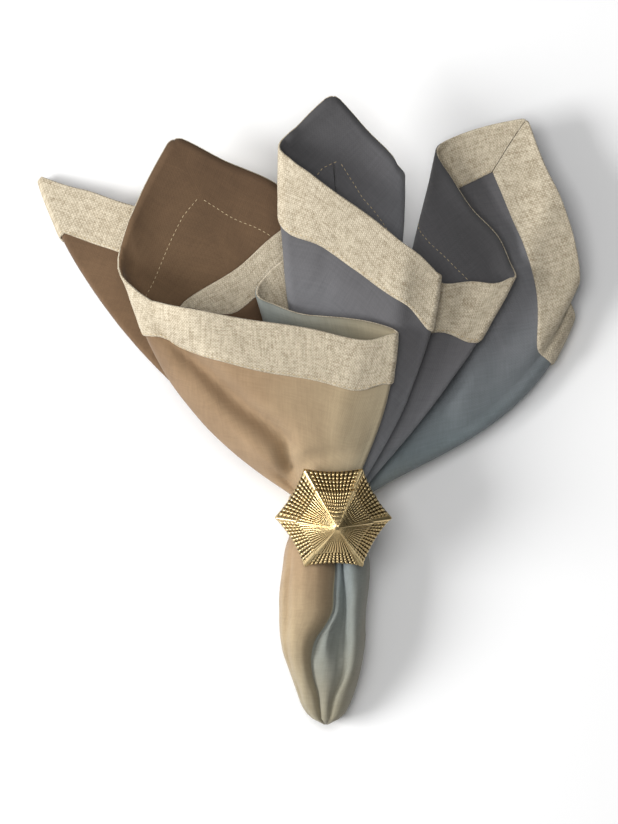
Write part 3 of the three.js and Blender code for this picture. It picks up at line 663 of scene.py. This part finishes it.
def newGroup(name, inputs, outputs):
    group = bpy.data.node_groups.new(name, "ShaderNodeTree")
    for label, value in inputs.items():
        socket = group.interface.new_socket(name=label, in_out="INPUT", socket_type="NodeSocketFloat")
        socket.default_value = value
    for label in outputs:
        group.interface.new_socket(name=label, in_out="OUTPUT", socket_type="NodeSocketFloat")
    return group, group.nodes.new("NodeGroupInput").outputs, group.nodes.new("NodeGroupOutput")


def calc(tree, operation, a, b=0.0):
    return addNode(tree, "ShaderNodeMath", {0: a, 1: b}, operation=operation).outputs[0]


def plus(tree, a, b):
    return calc(tree, "ADD", a, b)


def times(tree, a, b):
    return calc(tree, "MULTIPLY", a, b)


# A value from 0 to 1 turned into one that swings round zero
def swing(tree, value, amount):
    return times(tree, calc(tree, "SUBTRACT", value, 0.5), amount)


def noiseAt(tree, place, scale, detail, roughness=0.5):
    inputs = {"Vector": place, "Scale": scale, "Detail": detail, "Roughness": roughness}
    return addNode(tree, "ShaderNodeTexNoise", inputs).outputs[0]


def spreadOut(tree, value, low, high, toLow=0.0, toHigh=1.0):
    return addNode(tree, "ShaderNodeMapRange", {0: value, 1: low, 2: high, 3: toLow, 4: toHigh}).outputs[0]


def blendColours(tree, share, first, second, **settings):
    inputs = {"Factor": share, "A": first, "B": second}
    return addNode(tree, "ShaderNodeMix", inputs, data_type="RGBA", **settings).outputs["Result"]


def bumpFrom(tree, height, strength, distance):
    return addNode(tree, "ShaderNodeBump", {"Strength": strength, "Distance": distance, "Height": height}).outputs[0]


def flatInMm(tree):
    flat = addNode(tree, "ShaderNodeUVMap", uv_map="flat").outputs[0]
    return addNode(tree, "ShaderNodeVectorMath", {0: flat, 3: napkin["side"]}, operation="SCALE").outputs[0]


# Plain weave in the flat cloth: the height of the threads, streaks of thick and thin yarn, and flecks
def makeWeaveGroup():
    group, given, out = newGroup("plainWeave", {"Pitch": 0.8, "Streak Length": 14.0}, ("Height", "Streaks", "Flecks"))
    inMm = flatInMm(group)
    drift = times(group, noiseAt(group, inMm, 0.06, 2.0), 2.5)
    axes = addNode(group, "ShaderNodeSeparateXYZ", {0: inMm}).outputs
    threads = [calc(group, "DIVIDE", plus(group, axes[axis], drift), given["Pitch"]) for axis in (0, 1)]
    waves = [calc(group, "SINE", times(group, place, math.pi)) for place in threads]
    ridges = calc(group, "MAXIMUM", *(calc(group, "ABSOLUTE", wave) for wave in waves))
    streaks = []
    for axis in (0, 1):
        far = calc(group, "DIVIDE", axes[1 - axis], given["Streak Length"])
        place = addNode(group, "ShaderNodeCombineXYZ", {0: threads[axis], 1: far, 2: 5.0 * axis}).outputs[0]
        streaks.append(noiseAt(group, place, 0.9, 1.5, 0.6))
    feed(group, out, {
        "Height": plus(group, times(group, times(group, *waves), 0.35), times(group, ridges, 0.65)),
        "Streaks": times(group, plus(group, *streaks), 0.5),
        "Flecks": spreadOut(group, noiseAt(group, inMm, 1.3, 2.0), 0.66, 0.74),
    })
    return group


# Soft uneven tone of washed cloth
def makeMottleGroup():
    group, given, out = newGroup("washedTone", {"Size": 30.0}, ("Tone",))
    scale = calc(group, "DIVIDE", 1.0, given["Size"])
    feed(group, out, {"Tone": noiseAt(group, flatInMm(group), scale, 5.0, 0.62)})
    return group


def newMaterial(name):
    material = bpy.data.materials.new(name)
    material.use_nodes = True
    tree = material.node_tree
    tree.nodes.clear()
    shader = addNode(tree, "ShaderNodeBsdfPrincipled")
    tree.links.new(shader.outputs[0], addNode(tree, "ShaderNodeOutputMaterial").inputs[0])
    return material, tree, shader


def fromHex(code):
    parts = [int(code[i:i + 2], 16) / 255 for i in (0, 2, 4)]
    return tuple(p / 12.92 if p < 0.04045 else ((p + 0.055) / 1.055) ** 2.4 for p in parts) + (1.0,)


weave = makeWeaveGroup()
washedTone = makeMottleGroup()


def addWeave(tree, look):
    inputs = {"Pitch": look["pitch"], "Streak Length": look["streak"]}
    threads = addNode(tree, "ShaderNodeGroup", inputs, node_tree=weave).outputs
    toned = addNode(tree, "ShaderNodeGroup", {"Size": look["toneSize"]}, node_tree=washedTone).outputs[0]
    relief = plus(tree, threads["Height"], times(tree, threads["Streaks"], look["slubs"]))
    return threads, toned, bumpFrom(tree, relief, look["bump"], look["depth"])


ground = {
    "dye": [(0.0, "5b4633"), (0.16, "725a42"), (0.30, "998063"), (0.40, "a29073"), (0.5, "918a75"),
            (0.58, "80827a"), (0.70, "757f82"), (0.82, "76777a"), (0.92, "626163"), (1.0, "4a494a")],
    "pitch": 0.75,
    "streak": 12.0,
    "slubs": 1.2,
    "tone": 0.42,
    "toneSize": 22.0,
    "bump": 0.16,
    "depth": 0.0003,
    "roughness": 0.88,
}


def makeGroundMaterial():
    material, tree, shader = newMaterial("groundLinen")
    threads, toned, bump = addWeave(tree, ground)
    flat = addNode(tree, "ShaderNodeUVMap", uv_map="flat").outputs[0]
    across = addNode(tree, "ShaderNodeSeparateXYZ", {0: flat}).outputs[1]
    ramp = addNode(tree, "ShaderNodeValToRGB", {0: plus(tree, across, swing(tree, toned, 0.06))})
    stops = ramp.color_ramp.elements
    for index, (place, code) in enumerate(ground["dye"]):
        stop = stops[index] if index < 2 else stops.new(place)
        stop.position, stop.color = place, fromHex(code)
    yarn = swing(tree, threads["Streaks"], 0.5)
    light = plus(tree, plus(tree, yarn, swing(tree, toned, ground["tone"])), 1.0)
    feed(tree, shader, {
        "Base Color": blendColours(tree, 1.0, ramp.outputs[0], light, blend_type="MULTIPLY"),
        "Normal": bump,
        "Roughness": ground["roughness"],
        "Sheen Weight": 0.15,
        "Sheen Roughness": 0.5,
        "Specular IOR Level": 0.25,
    })
    return material


linen = {
    "light": "dcd1ba",
    "dark": "807057",
    "pitch": 0.8,
    "streak": 5.0,
    "slubs": 1.5,
    "tone": 0.14,
    "toneSize": 18.0,
    "bump": 0.5,
    "depth": 0.0004,
    "roughness": 0.9,
}


def makeLinenMaterial():
    material, tree, shader = newMaterial("borderLinen")
    threads, toned, bump = addWeave(tree, linen)
    streaks = times(tree, spreadOut(tree, threads["Streaks"], 0.34, 0.62), 0.5)
    # Painted shade in the weave: the thread height makes the thread tops lighter and the hollows between them darker.
    # This is added to the yarn's own streaks, tone and flecks.
    light = plus(tree, streaks, times(tree, threads["Height"], 0.5))
    light = plus(tree, light, swing(tree, toned, linen["tone"]))
    light = calc(tree, "SUBTRACT", light, times(tree, threads["Flecks"], 0.25))
    feed(tree, shader, {
        "Base Color": blendColours(tree, light, fromHex(linen["dark"]), fromHex(linen["light"])),
        "Normal": bump,
        "Roughness": linen["roughness"],
        "Sheen Weight": 0.1,
        "Specular IOR Level": 0.25,
    })
    return material


groundMaterial = makeGroundMaterial()
linenMaterial = makeLinenMaterial()
print("cloth materials made")

grid = addTail(makeFanGrid())
print("napkin worked out:", grid["points"].shape[0], "lines of", grid["points"].shape[1], "points")


def makeGroundCloth():
    points, half = grid["points"], grid["normals"] * grid["thickness"][..., None] / 2
    made = makeSheet("napkin", points + half, points - half, grid["flats"], True, groundMaterial)
    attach(made, "root")
    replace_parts(made, "napkin_cloth")
    return made


strip = {
    "shares": (0, 0.012, 0.035, 0.08, 0.14, 0.2, 0.3, 0.4, 0.5, 0.6, 0.7, 0.8, 0.88, 0.94, 0.98, 1.0),
    "hemWidth": 0.22,  # the turning under the strip's inner edge, as a share of its width
    "hemRise": 0.35,
    "edgeRound": 0.5,
    "wrap": (25, 50, 75),  # degrees round the rim of the cloth
}


def atShare(key, line, share):
    place = grid["seamRow"] + share * napkin["borderRows"]
    row = min(int(place), grid["points"].shape[1] - 2)
    return mix(grid[key][line, row], grid[key][line, row + 1], place - row)


def stripSection(line):
    low = napkin["cloth"] / 2 + napkin["stripGap"]
    outer, inner, flats = [], [], []
    for share in strip["shares"]:
        point, normal = atShare("points", line, share), unit(atShare("normals", line, share))
        hem = strip["hemRise"] * (1 - smooth(strip["hemWidth"] * 0.8, strip["hemWidth"] * 1.1, share))
        thick = (napkin["strip"] + hem) * min(1, strip["edgeRound"] + share / 0.035 * (1 - strip["edgeRound"]))
        outer.append(point + normal * (low + thick))
        inner.append(point + normal * low)
        flats.append(atShare("flats", line, share))
    rim, normal = grid["points"][line, -1], grid["normals"][line, -1]
    outwards = rim - grid["points"][line, -2]
    outwards = unit(outwards - normal * np.dot(outwards, normal))
    flatStep = unit(flats[-1] - flats[-2]) / napkin["side"]
    high = low + napkin["strip"]
    for angle in np.radians(strip["wrap"]):
        around = normal * math.cos(angle) + outwards * 0.4 * math.sin(angle)
        outer.append(rim + around * high)
        inner.append(rim + around * low)
        flats.append(flats[-1] + flatStep * high * math.radians(25))
    return outer, inner, flats


def makeStrip(name, node, number):
    sections = [stripSection(line) for line in orderedSide(grid["edges"], number)[0]]
    outer, inner, flats = (np.array(part) for part in zip(*sections))
    for end, after in ((0, 1), (-1, -2)):
        share = napkin["mitreGap"] / 2 / np.linalg.norm(outer[end][-1] - outer[after][-1])
        for part in (outer, inner, flats):
            part[end] = mix(part[end], part[after], share)
    made = makeSheet(name, outer, inner, flats, False, linenMaterial)
    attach(made, "root")
    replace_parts(made, node)
    return made


cloth = makeGroundCloth()
strips = [makeStrip("borderLeft", "border_left", 0), makeStrip("borderTop", "border_top", 1),
          makeStrip("borderRight", "border_right", 2), makeStrip("borderUnder", "border_under", 3)]
print("ground cloth and borders made")


stitching = {
    "share": 0.055,  # its place across the border, from the inner edge
    "pitch": 2.6,
    "length": 1.75,
    "radius": 0.18,
    "profile": (0.55, 0.95, 1, 0.95, 0.55),  # thickness along a stitch
    "sides": 7,
    "sink": 0.05,  # the ends go this far into the cloth
    "dark": "b39c76",
    "colour": "c2b08e",
    "roughness": 0.75,
}


def makeThreadMaterial():
    material, tree, shader = newMaterial("stitchThread")
    twist = noiseAt(tree, addNode(tree, "ShaderNodeTexCoord").outputs["Object"], 700.0, 2.0)
    share = plus(tree, times(tree, twist, 1.2), 0.05)
    feed(tree, shader, {
        "Base Color": blendColours(tree, share, fromHex(stitching["dark"]), fromHex(stitching["colour"])),
        "Normal": bumpFrom(tree, twist, 0.4, 0.0001),
        "Roughness": stitching["roughness"],
    })
    return material


# One row of stitches along a path: short threads that dip into the cloth at their ends
def addStitches(path, normals, points, faces):
    along = np.concatenate(((0,), np.cumsum(np.linalg.norm(np.diff(path, axis=0), axis=1))))
    radius, shape = stitching["radius"], (len(stitching["profile"]), stitching["sides"])
    start = stitching["pitch"] * 0.5
    while start + stitching["length"] < along[-1]:
        index = len(points) + np.arange(shape[0] * shape[1]).reshape(shape).T
        for i, size in enumerate(stitching["profile"]):
            u = i / (shape[0] - 1)
            place = start + u * stitching["length"]
            middle, up = onCurve(place, along, path), unit(onCurve(place, along, normals))
            sideways = unit(np.cross(up, onCurve(place + 0.1, along, path) - middle))
            lift = radius * (1.2 * math.sin(math.pi * u) - 0.55) - stitching["sink"]
            for angle in np.arange(shape[1]) * math.tau / shape[1]:
                points.append(middle + up * (lift + radius * size * math.sin(angle))
                              + sideways * radius * size * math.cos(angle))
        faces += gridFaces(index, closed=True) + [index[::-1, 0].tolist(), index[:, -1].tolist()]
        start += stitching["pitch"]


def makeStitching():
    points, faces = [], []
    face = napkin["cloth"] / 2 + napkin["stripGap"] + napkin["strip"] + strip["hemRise"]
    for number in range(4):
        chosen = orderedSide(grid["edges"], number)[0]
        row = np.array([atShare("points", line, stitching["share"]) for line in chosen])
        up = unit(np.array([atShare("normals", line, stitching["share"]) for line in chosen]))
        keep = [0]
        for i in range(1, len(row)):
            if np.linalg.norm(row[i] - row[keep[-1]]) > 0.6:
                keep.append(i)
        row, up = row[keep], up[keep]
        if number < 3:  # the last border lies on the table
            addStitches(row + up * face, up, points, faces)
        addStitches(row - up * napkin["cloth"] / 2, -up, points, faces)
    made = makeObject("stitching", points, faces, None, makeThreadMaterial())
    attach(made, "root")
    return made


stitches = makeStitching()
print("stitching made")


gold = {
    "bright": "cdb180",
    "pale": "e2cf9f",
    "patina": "2f2210",
    "roughness": 0.3,
    "grooveRoughness": 0.55,
}


def makeGoldMaterial():
    material, tree, shader = newMaterial("agedGold")
    groove = addNode(tree, "ShaderNodeAttribute", attribute_name="groove").outputs["Fac"]
    place = addNode(tree, "ShaderNodeTexCoord").outputs["Object"]
    cloudy, fine = noiseAt(tree, place, 90.0, 4.0), noiseAt(tree, place, 900.0, 2.0)
    clean = blendColours(tree, cloudy, fromHex(gold["bright"]), fromHex(gold["pale"]))
    depth = spreadOut(tree, plus(tree, groove, swing(tree, cloudy, 0.5)), 0.14, 0.6, 0.0, 0.95)
    rough = spreadOut(tree, depth, 0.0, 1.0, gold["roughness"], gold["grooveRoughness"])
    feed(tree, shader, {
        "Base Color": blendColours(tree, depth, clean, fromHex(gold["patina"])),
        "Roughness": plus(tree, rough, swing(tree, fine, 0.2)),
        "Normal": bumpFrom(tree, fine, 0.15, 0.0002),
        "Metallic": 1.0,
    })
    return material


goldMaterial = makeGoldMaterial()


# From the ring's own axes (x across, y along its bore, z up from its middle) to the shared frame
def ringPlace(x, y, z):
    lean, centre = ring["lean"], ring["centre"]
    along = math.cos(lean) * y - math.sin(lean) * z
    up = math.cos(lean) * z + math.sin(lean) * y
    return np.stack((x + centre[0], along + centre[1], up + centre[2]), axis=-1)


def makeRingPiece(name, points, faces, grooves):
    made = makeObject(name, points, faces, None, goldMaterial)
    layer = made.data.attributes.new("groove", "FLOAT", "POINT")
    layer.data.foreach_set("value", np.asarray(grooves, dtype=np.float32).ravel())
    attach(made, "root")
    return made


band = {
    "columns": 160,
    "edgeRound": 1.1,
    "crown": 0.35,  # the outside swells this much between its edges
    "dents": 0.05,
}


def makeBand():
    inner, outer, edge = ring["inner"], ring["outer"], band["edgeRound"]
    half = ring["width"] / 2 - edge
    outside = [(outer - band["crown"] * u * u, u * half) for u in np.linspace(-1, 1, 13)]
    turned = [(outer - band["crown"] - edge + edge * math.sin(angle), half + edge * math.cos(angle))
              for angle in np.radians((60, 30, 0, -30, -60))]
    inside = [(inner, u * half) for u in np.linspace(1, -1, 7)]
    profile = outside + turned + inside + [(radius, -y) for radius, y in turned[::-1]]
    angles = np.linspace(0, math.tau, band["columns"], endpoint=False)
    points = []
    for radius, y in profile:
        radius = max(radius, inner) + band["dents"] * np.sin(angles * 3 + y * 0.2) * (radius > inner + 0.5)
        points.append(ringPlace(radius * np.sin(angles), y, radius * np.cos(angles)))
    index = np.arange(len(profile) * len(angles)).reshape(len(profile), -1)
    faces = gridFaces(np.concatenate((index, index[:, :1]), axis=1), closed=True)
    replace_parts(makeRingPiece("ringBand", points, faces, np.zeros(index.shape)), "ring_band")


ornament = {
    "ribs": 11,  # on each of the six faces
    "ribSamples": 8,
    "arris": 0.125,  # half width of the smooth ridge between two faces, as a share of half a face
    "step": 0.665,  # the inner pyramid stands on a step at this share of the radius
    "stepRise": 2.1,
    "outerBeads": 5,  # rows of beads outside the step
    "innerBeads": 9,
    "ribDepth": 1.35,
    "outerBeadDepth": 0.75,
    "innerBeadDepth": 0.42,
    "beadedFaces": (1, 1, 0.35, 0.1, 0.2, 0.5),  # how much the ribs break into beads, face by face from the right
    "hollow": 0.06,  # the sides curve in this much
    "sway": 2.2,  # the peak stands this far to the right
    "edgeHeight": 2.4,  # of the beaded side wall
    "edgeRows": 14,
}


# Height of the plain six-sided pyramid over its base, at a share of the radius
def pyramidHeight(share):
    inner, top = ornament["step"], ring["ornamentHeight"]
    if share < inner:
        return np.interp(share, (0, 0.03, inner), (top, top * 0.985, 0.38 * top + ornament["stepRise"]))
    return np.interp(share, (inner, 1), (0.38 * top, ornament["edgeHeight"]))


def beadWave(place):
    return np.sqrt(np.clip(1 - (2 * (place - np.floor(place)) - 1) ** 2, 0, 1))


def makeOrnament():
    ribs, arris, inner, half = ornament["ribs"], ornament["arris"], ornament["step"], math.pi / 6
    across = np.concatenate((np.linspace(-1 + arris, 1 - arris, ribs * ornament["ribSamples"] + 1),
                             np.linspace(1 - arris, 1 + arris, 9)[1:-1]))
    onNext = across > 1
    places = np.tile(across - 2 * onNext, 6)
    turns = np.arctan(places * math.tan(half))
    angles = 2 * half * (np.repeat(np.arange(6), len(across)) + np.tile(0.5 + onNext, 6)) + turns
    beaded = np.repeat(ornament["beadedFaces"], len(across))
    outline = math.cos(half) / np.cos(turns) * (1 - ornament["hollow"] * (1 - places ** 2))
    onRidge = smooth(1 - arris * 1.05, 1 - arris * 0.75, np.abs(places))
    ribShape = beadWave(np.clip((places + 1 - arris) / (2 - 2 * arris) * ribs, 0, ribs))
    ribShape = np.where(onRidge > 0, 1, ribShape)
    ridgeShape = 1 + 0.25 * (1 - ((1 - np.abs(places)) / arris) ** 2)
    radius, base, sway = ring["ornamentRadius"], ring["outer"] + ring["ornamentGap"], ornament["sway"]
    points, grooves = [], []

    def addRow(share, height, groove):
        x, y = radius * share * outline * np.cos(angles), radius * share * outline * np.sin(angles)
        x = x + sway / ring["ornamentHeight"] * height
        points.append(ringPlace(x, y + ring["ornamentShift"], base + height))
        grooves.append(groove)

    innerShares = inner * np.linspace(0.03, 1, ornament["innerBeads"] * 7 + 1) ** 0.8
    outerShares = np.linspace(inner, 1, ornament["outerBeads"] * 8 + 1)[1:]
    for share in (*innerShares, inner + 0.012, *outerShares):
        if share <= inner:
            row, nudge = (share / inner) ** 1.25 * ornament["innerBeads"], -0.0001
            depth, beadDepth = ornament["ribDepth"] * smooth(0.02, 0.4, share), ornament["innerBeadDepth"] * beaded
        else:
            row, nudge = (share - inner) / (1 - inner) * ornament["outerBeads"], 0.0001
            depth, beadDepth = ornament["ribDepth"] * 1.1, ornament["outerBeadDepth"] * (0.3 + 0.7 * np.sqrt(beaded))
        carved = mix(ribShape * (1 - beadDepth * (1 - beadWave(max(row, 0.001)))), ridgeShape, onRidge)
        height = np.maximum(pyramidHeight(share + nudge) - depth * (1 - carved), 0.3)
        addRow(share, height, np.clip(1 - carved, 0, 1) * smooth(0.03, 0.2, share))
    for step in range(1, ornament["edgeRows"] + 1):
        down = step / ornament["edgeRows"]
        bead = ribShape * beadWave(down * 2 - 0.001)
        addRow(1 + (0.55 * bead - 0.35) / radius, height * (1 - down), np.clip(1 - bead, 0, 1))
    for share in (0.93, 0.6, 0.25, 0.05):
        addRow(share, np.zeros(angles.shape), np.full(angles.shape, 0.2))
    index = np.arange(len(points) * len(angles)).reshape(len(points), -1)
    faces = gridFaces(index[::-1].T, closed=True) + [index[0].tolist(), index[-1, ::-1].tolist()]
    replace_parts(makeRingPiece("ringOrnament", points, faces, grooves), "ring_ornament")


makeBand()
makeOrnament()
print("ring made, triangles of the napkin:", 2 * len(cloth.data.polygons))


room = {
    "floorSize": 1.6,
    "brightSide": (-0.95, -0.1, 0.3),
    "dim": 0.05,
    "bright": 0.28,
    "keyPlace": (-1.85, -0.25, 1.2),
    "keySize": 1.0,
    "keyPower": 56,
    "topPlace": (-0.1, 0.2, 1.38),
    "topSize": 0.7,
    "topPower": 9.5,
    "aim": (0, 0, 0.03),
    "cameraPlace": (0.00005, -0.00027, 6.035),
    "cameraLens": 18 * 6.0 / 0.206,  # the picture's long side shows 412 mm from 6 m
}


def makeFloor():
    mesh = bpy.data.meshes.new("tableTop")
    half = room["floorSize"] / 2
    mesh.from_pydata([(-half, -half, 0), (half, -half, 0), (half, half, 0), (-half, half, 0)], [], [(0, 1, 2, 3)])
    material, tree, shader = newMaterial("paleTable")
    feed(tree, shader, {"Base Color": (0.9, 0.9, 0.9, 1), "Roughness": 0.9})
    mesh.materials.append(material)
    addObject("tableTop", mesh)


def areaLight(name, place, size, power):
    light = bpy.data.lights.new(name, "AREA")
    light.shape = "SQUARE"
    light.size = size
    light.energy = power
    lamp = addObject(name, light)
    lamp.location = place
    lamp.rotation_euler = (Vector(room["aim"]) - Vector(place)).to_track_quat("-Z", "Y").to_euler()


def makeWorld():
    world = bpy.data.worlds.new("softRoom")
    world.use_nodes = True
    tree = world.node_tree
    facing = addNode(tree, "ShaderNodeTexCoord").outputs["Generated"]
    side = addNode(tree, "ShaderNodeVectorMath", {0: facing, 1: room["brightSide"]}, operation="DOT_PRODUCT")
    light = addNode(tree, "ShaderNodeMapRange",
                    {0: side.outputs["Value"], 1: -0.9, 2: 0.9, 3: room["dim"], 4: room["bright"]},
                    interpolation_type="SMOOTHSTEP")
    feed(tree, tree.nodes["Background"], {0: (1, 1, 1, 1), 1: light.outputs[0]})
    bpy.context.scene.world = world


makeFloor()
makeWorld()
areaLight("keyLight", room["keyPlace"], room["keySize"], room["keyPower"])
areaLight("topLight", room["topPlace"], room["topSize"], room["topPower"])
bpy.context.scene.view_settings.view_transform = "Standard"

lens = bpy.data.cameras.new("overhead")
lens.lens = room["cameraLens"]
lens.sensor_width = 36
lens.clip_end = 20
camera = addObject("overhead", lens)
camera.location = room["cameraPlace"]
bpy.context.scene.camera = camera
